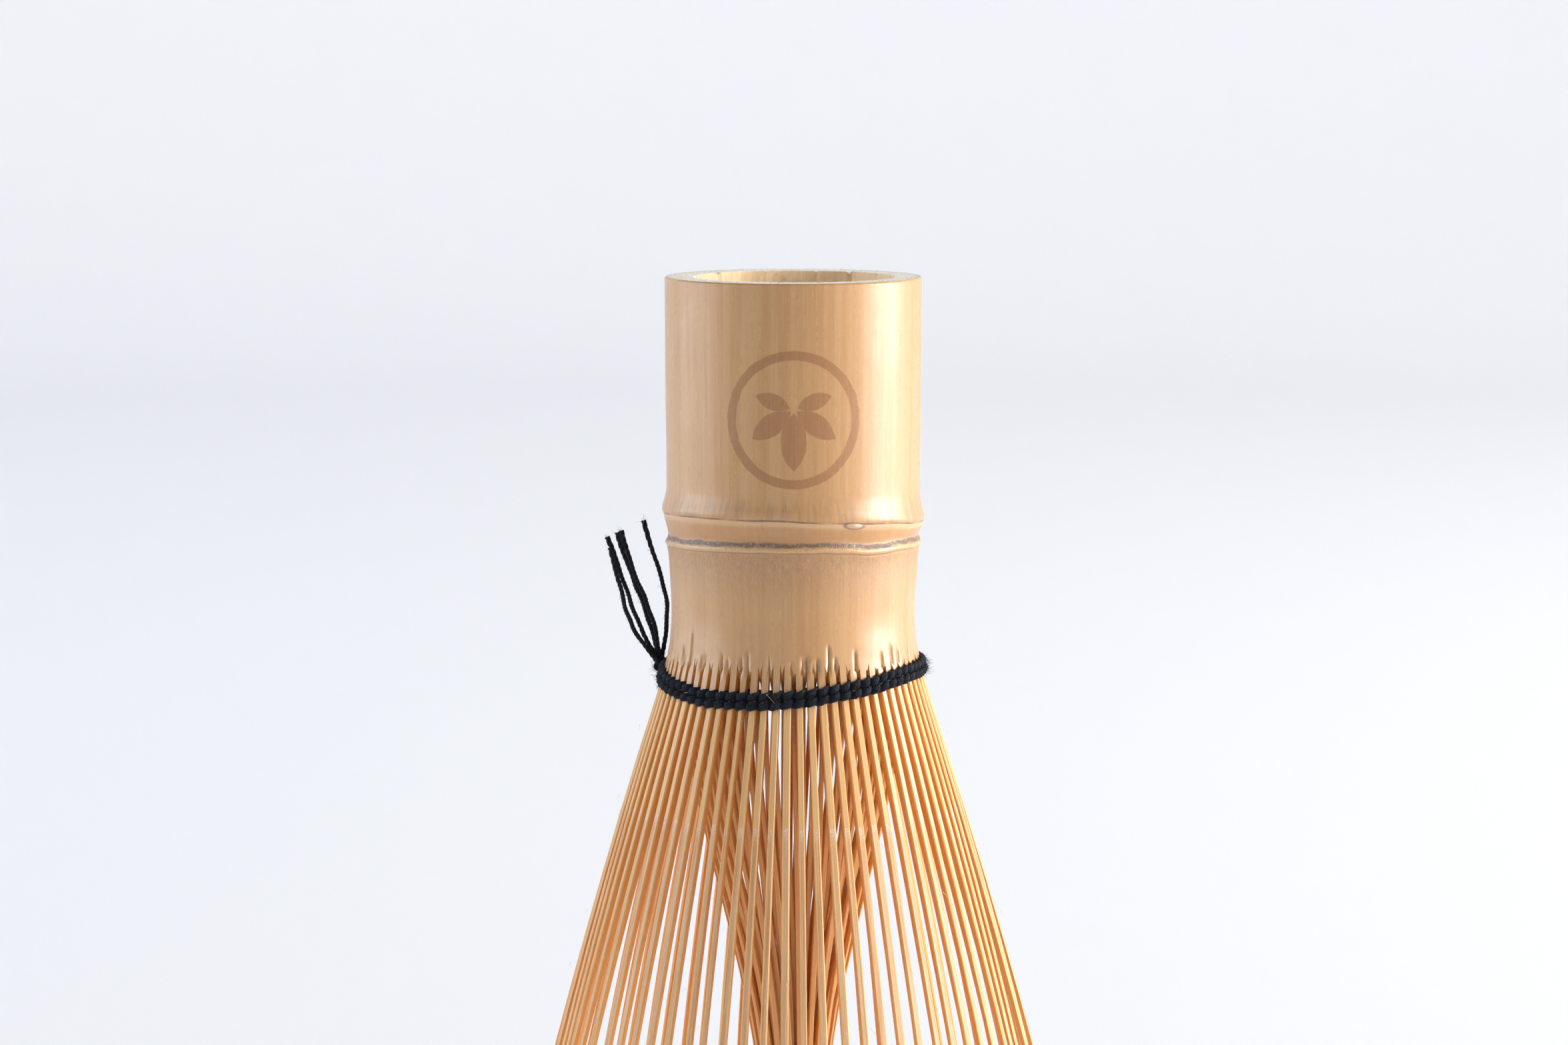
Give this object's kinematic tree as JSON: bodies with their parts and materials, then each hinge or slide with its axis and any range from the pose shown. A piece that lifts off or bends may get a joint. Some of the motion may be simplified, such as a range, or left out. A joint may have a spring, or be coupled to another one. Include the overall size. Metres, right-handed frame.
{
  "type": "bamboo tea whisk",
  "caption": "Tea whisk split from one bamboo culm: hollow handle with a node, flared outer tines, gathered inner tines, and a black thread woven round their roots.",
  "frame": {"origin": "on the whisk's axis, in the plane of the outer tine tips, at the bottom centre of the whole object", "axes": "+Z from the tine tips towards the sawn end of the handle; the loose thread ends are on the -X side"},
  "size_m": [0.0564, 0.0564, 0.11],
  "materials": {
    "bamboo_skin": "dry-polished bamboo skin, satin",
    "bamboo_pith": "raw inner bamboo, matt",
    "bamboo_tine": "split bamboo, satin skin above and shaved fibres below",
    "bamboo_inner_tine": "split bamboo fibres, matt",
    "binding_thread": "twisted cotton thread, matt and slightly hairy"
  },
  "bodies": {
    "culm": {"culm_handle": "bamboo_skin", "node_diaphragm": "bamboo_pith", "binding_upper_row": "binding_thread", "binding_lower_row": "binding_thread", "binding_inner_pass": "binding_thread", "binding_knot": "binding_thread", "thread_tail_1": "binding_thread", "thread_tail_2": "binding_thread", "thread_tail_3": "binding_thread", "thread_tail_4": "binding_thread", "thread_tail_5": "binding_thread"},
    "outer_tine_group_01": {"outer_tines_01": "bamboo_tine"},
    "outer_tine_group_02": {"outer_tines_02": "bamboo_tine"},
    "outer_tine_group_03": {"outer_tines_03": "bamboo_tine"},
    "outer_tine_group_04": {"outer_tines_04": "bamboo_tine"},
    "outer_tine_group_05": {"outer_tines_05": "bamboo_tine"},
    "outer_tine_group_06": {"outer_tines_06": "bamboo_tine"},
    "outer_tine_group_07": {"outer_tines_07": "bamboo_tine"},
    "outer_tine_group_08": {"outer_tines_08": "bamboo_tine"},
    "outer_tine_group_09": {"outer_tines_09": "bamboo_tine"},
    "outer_tine_group_10": {"outer_tines_10": "bamboo_tine"},
    "outer_tine_group_11": {"outer_tines_11": "bamboo_tine"},
    "outer_tine_group_12": {"outer_tines_12": "bamboo_tine"},
    "inner_tine_group_01": {"inner_tines_01": "bamboo_inner_tine"},
    "inner_tine_group_02": {"inner_tines_02": "bamboo_inner_tine"},
    "inner_tine_group_03": {"inner_tines_03": "bamboo_inner_tine"},
    "inner_tine_group_04": {"inner_tines_04": "bamboo_inner_tine"},
    "inner_tine_group_05": {"inner_tines_05": "bamboo_inner_tine"},
    "inner_tine_group_06": {"inner_tines_06": "bamboo_inner_tine"}
  },
  "joints": [
    {"name": "outer_flex_01", "type": "hinge", "parent": "culm", "child": "outer_tine_group_01", "pos_m": [0.01369, 0.00367, 0.06528], "axis": [0.2588, -0.9659, 0], "range_deg": [-2, 8], "stiffness_Nm_per_rad": 0.03},
    {"name": "outer_flex_02", "type": "hinge", "parent": "culm", "child": "outer_tine_group_02", "pos_m": [0.01002, 0.01002, 0.06528], "axis": [0.7071, -0.7071, 0], "range_deg": [-2, 8], "stiffness_Nm_per_rad": 0.03},
    {"name": "outer_flex_03", "type": "hinge", "parent": "culm", "child": "outer_tine_group_03", "pos_m": [0.00367, 0.01369, 0.06528], "axis": [0.9659, -0.2588, 0], "range_deg": [-2, 8], "stiffness_Nm_per_rad": 0.03},
    {"name": "outer_flex_04", "type": "hinge", "parent": "culm", "child": "outer_tine_group_04", "pos_m": [-0.00367, 0.01369, 0.06528], "axis": [0.9659, 0.2588, 0], "range_deg": [-2, 8], "stiffness_Nm_per_rad": 0.03},
    {"name": "outer_flex_05", "type": "hinge", "parent": "culm", "child": "outer_tine_group_05", "pos_m": [-0.01002, 0.01002, 0.06528], "axis": [0.7071, 0.7071, 0], "range_deg": [-2, 8], "stiffness_Nm_per_rad": 0.03},
    {"name": "outer_flex_06", "type": "hinge", "parent": "culm", "child": "outer_tine_group_06", "pos_m": [-0.01369, 0.00367, 0.06528], "axis": [0.2588, 0.9659, 0], "range_deg": [-2, 8], "stiffness_Nm_per_rad": 0.03},
    {"name": "outer_flex_07", "type": "hinge", "parent": "culm", "child": "outer_tine_group_07", "pos_m": [-0.01369, -0.00367, 0.06528], "axis": [-0.2588, 0.9659, 0], "range_deg": [-2, 8], "stiffness_Nm_per_rad": 0.03},
    {"name": "outer_flex_08", "type": "hinge", "parent": "culm", "child": "outer_tine_group_08", "pos_m": [-0.01002, -0.01002, 0.06528], "axis": [-0.7071, 0.7071, 0], "range_deg": [-2, 8], "stiffness_Nm_per_rad": 0.03},
    {"name": "outer_flex_09", "type": "hinge", "parent": "culm", "child": "outer_tine_group_09", "pos_m": [-0.00367, -0.01369, 0.06528], "axis": [-0.9659, 0.2588, 0], "range_deg": [-2, 8], "stiffness_Nm_per_rad": 0.03},
    {"name": "outer_flex_10", "type": "hinge", "parent": "culm", "child": "outer_tine_group_10", "pos_m": [0.00367, -0.01369, 0.06528], "axis": [-0.9659, -0.2588, 0], "range_deg": [-2, 8], "stiffness_Nm_per_rad": 0.03},
    {"name": "outer_flex_11", "type": "hinge", "parent": "culm", "child": "outer_tine_group_11", "pos_m": [0.01002, -0.01002, 0.06528], "axis": [-0.7071, -0.7071, 0], "range_deg": [-2, 8], "stiffness_Nm_per_rad": 0.03},
    {"name": "outer_flex_12", "type": "hinge", "parent": "culm", "child": "outer_tine_group_12", "pos_m": [0.01369, -0.00367, 0.06528], "axis": [-0.2588, -0.9659, 0], "range_deg": [-2, 8], "stiffness_Nm_per_rad": 0.03},
    {"name": "inner_flex_01", "type": "hinge", "parent": "culm", "child": "inner_tine_group_01", "pos_m": [0.01029, 0.00536, 0.06965], "axis": [0.4617, -0.887, 0], "range_deg": [0, 6], "stiffness_Nm_per_rad": 0.02},
    {"name": "inner_flex_02", "type": "hinge", "parent": "culm", "child": "inner_tine_group_02", "pos_m": [0.00051, 0.01159, 0.06965], "axis": [0.999, -0.0436, 0], "range_deg": [0, 6], "stiffness_Nm_per_rad": 0.02},
    {"name": "inner_flex_03", "type": "hinge", "parent": "culm", "child": "inner_tine_group_03", "pos_m": [-0.00978, 0.00623, 0.06965], "axis": [0.5373, 0.8434, 0], "range_deg": [0, 6], "stiffness_Nm_per_rad": 0.02},
    {"name": "inner_flex_04", "type": "hinge", "parent": "culm", "child": "inner_tine_group_04", "pos_m": [-0.01029, -0.00536, 0.06965], "axis": [-0.4617, 0.887, 0], "range_deg": [0, 6], "stiffness_Nm_per_rad": 0.02},
    {"name": "inner_flex_05", "type": "hinge", "parent": "culm", "child": "inner_tine_group_05", "pos_m": [-0.00051, -0.01159, 0.06965], "axis": [-0.999, 0.0436, 0], "range_deg": [0, 6], "stiffness_Nm_per_rad": 0.02},
    {"name": "inner_flex_06", "type": "hinge", "parent": "culm", "child": "inner_tine_group_06", "pos_m": [0.00978, -0.00623, 0.06965], "axis": [-0.5373, -0.8434, 0], "range_deg": [0, 6], "stiffness_Nm_per_rad": 0.02}
  ]
}
